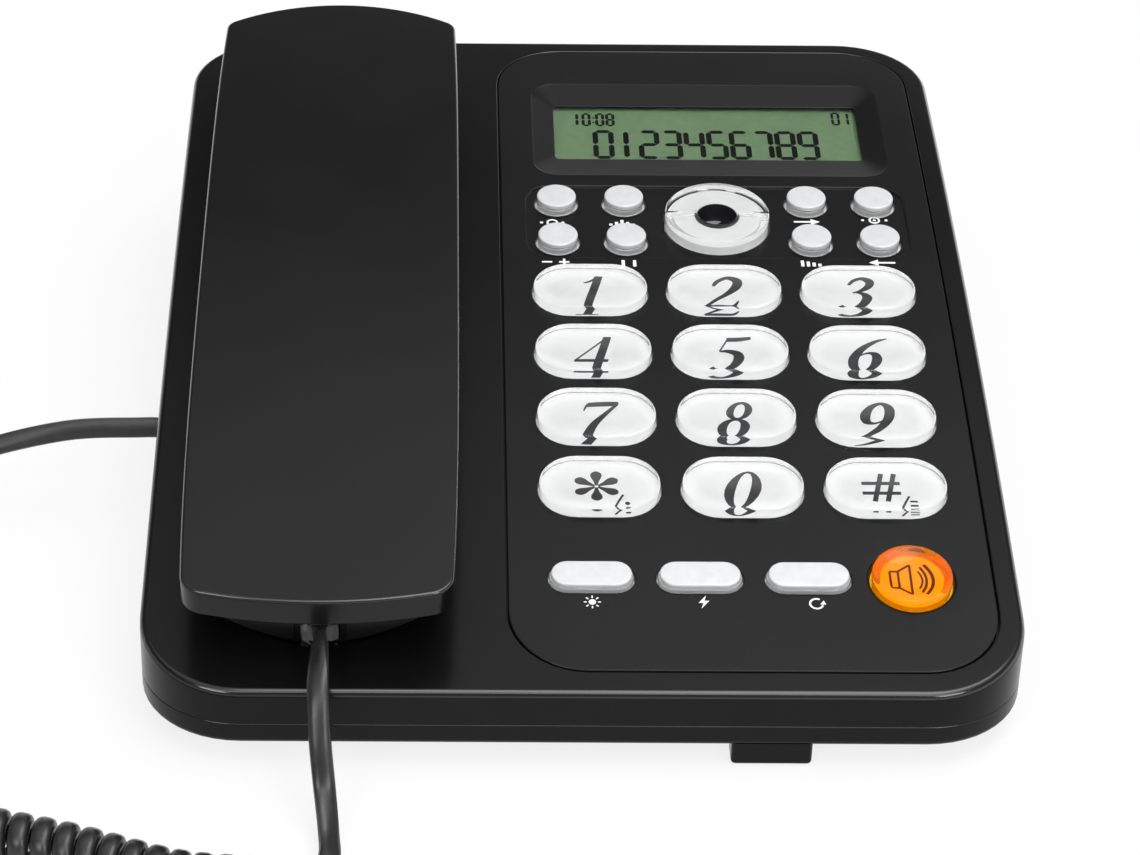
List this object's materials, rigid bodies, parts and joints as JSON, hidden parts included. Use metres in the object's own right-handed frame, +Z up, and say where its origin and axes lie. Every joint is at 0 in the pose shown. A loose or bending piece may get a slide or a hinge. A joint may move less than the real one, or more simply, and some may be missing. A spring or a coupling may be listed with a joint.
{
  "type": "caller id telephone",
  "caption": "Desk telephone with a crowned black case, caller display, clear number keys, lift-off handset and curly cord.",
  "frame": {"origin": "on the desk, under the middle of the case", "axes": "+Z up, +Y to the back of the case, +X to the right as the user sees it"},
  "size_m": [0.273, 0.2814, 0.0664],
  "materials": {
    "case": "satin black moulding",
    "fascia": "satin black",
    "clear_key": "clear cap over white",
    "orange_key": "clear orange",
    "window": "clear",
    "display": "grey-green liquid crystal",
    "white_plastic": "moulded",
    "board": "board laminate",
    "mat": "silicone",
    "steel": "plated",
    "speaker": "painted frame",
    "clear_plug": "clear",
    "rubber": "moulded",
    "cable": "satin jacket"
  },
  "bodies": {
    "base": {"upper_shell": "case", "lower_shell": "case", "fascia": "fascia", "lcd_lens": "window", "lcd_glass": "display", "lcd_tray": "white_plastic", "main_board": "board", "key_mat": "mat", "loudspeaker": "speaker", "hook_switch": "white_plastic", "base_jack": "case", "base_plug": "clear_plug", "line_jack": "case", "rubber_feet": "rubber", "case_screws": "steel", "board_screws": "steel", "handset_cord": "cable"},
    "handset": {"handset_back": "case", "handset_front": "case", "receiver": "speaker", "microphone": "speaker", "handset_weight": "steel", "handset_jack": "case", "handset_screws": "steel", "handset_plug": "clear_plug"},
    "hook_plunger": {"hook_plunger": "case"},
    "key_1": {"key_1": "clear_key"},
    "key_2": {"key_2": "clear_key"},
    "key_3": {"key_3": "clear_key"},
    "key_4": {"key_4": "clear_key"},
    "key_5": {"key_5": "clear_key"},
    "key_6": {"key_6": "clear_key"},
    "key_7": {"key_7": "clear_key"},
    "key_8": {"key_8": "clear_key"},
    "key_9": {"key_9": "clear_key"},
    "key_star": {"key_star": "clear_key"},
    "key_0": {"key_0": "clear_key"},
    "key_hash": {"key_hash": "clear_key"},
    "menu_key_1": {"menu_key_1": "clear_key"},
    "menu_key_2": {"menu_key_2": "clear_key"},
    "menu_key_3": {"menu_key_3": "clear_key"},
    "menu_key_4": {"menu_key_4": "clear_key"},
    "menu_key_5": {"menu_key_5": "clear_key"},
    "menu_key_6": {"menu_key_6": "clear_key"},
    "menu_key_7": {"menu_key_7": "clear_key"},
    "menu_key_8": {"menu_key_8": "clear_key"},
    "up_key": {"up_key": "clear_key"},
    "down_key": {"down_key": "clear_key"},
    "func_key_1": {"func_key_1": "clear_key"},
    "func_key_2": {"func_key_2": "clear_key"},
    "func_key_3": {"func_key_3": "clear_key"},
    "speaker_key": {"speaker_key": "orange_key"}
  },
  "joints": [
    {"name": "key_1_press", "type": "slide", "parent": "base", "child": "key_1", "axis": [0, 0.128, -0.9918], "range_m": [0, 0.0012], "stiffness_N_per_m": 500, "springref_m": -0.0006},
    {"name": "key_2_press", "type": "slide", "parent": "base", "child": "key_2", "axis": [0, 0.128, -0.9918], "range_m": [0, 0.0012], "stiffness_N_per_m": 500, "springref_m": -0.0006},
    {"name": "key_3_press", "type": "slide", "parent": "base", "child": "key_3", "axis": [0, 0.128, -0.9918], "range_m": [0, 0.0012], "stiffness_N_per_m": 500, "springref_m": -0.0006},
    {"name": "key_4_press", "type": "slide", "parent": "base", "child": "key_4", "axis": [0, 0.1447, -0.9895], "range_m": [0, 0.0012], "stiffness_N_per_m": 500, "springref_m": -0.0006},
    {"name": "key_5_press", "type": "slide", "parent": "base", "child": "key_5", "axis": [0, 0.1447, -0.9895], "range_m": [0, 0.0012], "stiffness_N_per_m": 500, "springref_m": -0.0006},
    {"name": "key_6_press", "type": "slide", "parent": "base", "child": "key_6", "axis": [0, 0.1447, -0.9895], "range_m": [0, 0.0012], "stiffness_N_per_m": 500, "springref_m": -0.0006},
    {"name": "key_7_press", "type": "slide", "parent": "base", "child": "key_7", "axis": [0, 0.1614, -0.9869], "range_m": [0, 0.0012], "stiffness_N_per_m": 500, "springref_m": -0.0006},
    {"name": "key_8_press", "type": "slide", "parent": "base", "child": "key_8", "axis": [0, 0.1614, -0.9869], "range_m": [0, 0.0012], "stiffness_N_per_m": 500, "springref_m": -0.0006},
    {"name": "key_9_press", "type": "slide", "parent": "base", "child": "key_9", "axis": [0, 0.1614, -0.9869], "range_m": [0, 0.0012], "stiffness_N_per_m": 500, "springref_m": -0.0006},
    {"name": "key_star_press", "type": "slide", "parent": "base", "child": "key_star", "axis": [0, 0.178, -0.984], "range_m": [0, 0.0012], "stiffness_N_per_m": 500, "springref_m": -0.0006},
    {"name": "key_0_press", "type": "slide", "parent": "base", "child": "key_0", "axis": [0, 0.178, -0.984], "range_m": [0, 0.0012], "stiffness_N_per_m": 500, "springref_m": -0.0006},
    {"name": "key_hash_press", "type": "slide", "parent": "base", "child": "key_hash", "axis": [0, 0.178, -0.984], "range_m": [0, 0.0012], "stiffness_N_per_m": 500, "springref_m": -0.0006},
    {"name": "menu_key_1_press", "type": "slide", "parent": "base", "child": "menu_key_1", "axis": [0, 0.101, -0.9949], "range_m": [0, 0.0012], "stiffness_N_per_m": 300, "springref_m": -0.0006},
    {"name": "menu_key_2_press", "type": "slide", "parent": "base", "child": "menu_key_2", "axis": [0, 0.101, -0.9949], "range_m": [0, 0.0012], "stiffness_N_per_m": 300, "springref_m": -0.0006},
    {"name": "menu_key_3_press", "type": "slide", "parent": "base", "child": "menu_key_3", "axis": [0, 0.101, -0.9949], "range_m": [0, 0.0012], "stiffness_N_per_m": 300, "springref_m": -0.0006},
    {"name": "menu_key_4_press", "type": "slide", "parent": "base", "child": "menu_key_4", "axis": [0, 0.101, -0.9949], "range_m": [0, 0.0012], "stiffness_N_per_m": 300, "springref_m": -0.0006},
    {"name": "menu_key_5_press", "type": "slide", "parent": "base", "child": "menu_key_5", "axis": [0, 0.1128, -0.9936], "range_m": [0, 0.0012], "stiffness_N_per_m": 300, "springref_m": -0.0006},
    {"name": "menu_key_6_press", "type": "slide", "parent": "base", "child": "menu_key_6", "axis": [0, 0.1128, -0.9936], "range_m": [0, 0.0012], "stiffness_N_per_m": 300, "springref_m": -0.0006},
    {"name": "menu_key_7_press", "type": "slide", "parent": "base", "child": "menu_key_7", "axis": [0, 0.1128, -0.9936], "range_m": [0, 0.0012], "stiffness_N_per_m": 300, "springref_m": -0.0006},
    {"name": "menu_key_8_press", "type": "slide", "parent": "base", "child": "menu_key_8", "axis": [0, 0.1128, -0.9936], "range_m": [0, 0.0012], "stiffness_N_per_m": 300, "springref_m": -0.0006},
    {"name": "up_key_press", "type": "slide", "parent": "base", "child": "up_key", "axis": [0, 0.1069, -0.9943], "range_m": [0, 0.0012], "stiffness_N_per_m": 400, "springref_m": -0.0006},
    {"name": "down_key_press", "type": "slide", "parent": "base", "child": "down_key", "axis": [0, 0.1069, -0.9943], "range_m": [0, 0.0012], "stiffness_N_per_m": 400, "springref_m": -0.0006},
    {"name": "func_key_1_press", "type": "slide", "parent": "base", "child": "func_key_1", "axis": [0, 0.1978, -0.9802], "range_m": [0, 0.0012], "stiffness_N_per_m": 400, "springref_m": -0.0006},
    {"name": "func_key_2_press", "type": "slide", "parent": "base", "child": "func_key_2", "axis": [0, 0.1978, -0.9802], "range_m": [0, 0.0012], "stiffness_N_per_m": 400, "springref_m": -0.0006},
    {"name": "func_key_3_press", "type": "slide", "parent": "base", "child": "func_key_3", "axis": [0, 0.1978, -0.9802], "range_m": [0, 0.0012], "stiffness_N_per_m": 400, "springref_m": -0.0006},
    {"name": "speaker_key_press", "type": "slide", "parent": "base", "child": "speaker_key", "axis": [0, 0.1978, -0.9802], "range_m": [0, 0.0012], "stiffness_N_per_m": 500, "springref_m": -0.0006},
    {"name": "handset_lift", "type": "slide", "parent": "base", "child": "handset", "axis": [0, -0.135, 0.9908], "range_m": [0, 0.06]},
    {"name": "hook_rise", "type": "slide", "parent": "base", "child": "hook_plunger", "axis": [0, -0.135, 0.9908], "range_m": [0, 0.004]}
  ],
  "couplings": [
    {"joint": "hook_rise", "follows": "handset_lift", "ratio": 0.0666}
  ]
}
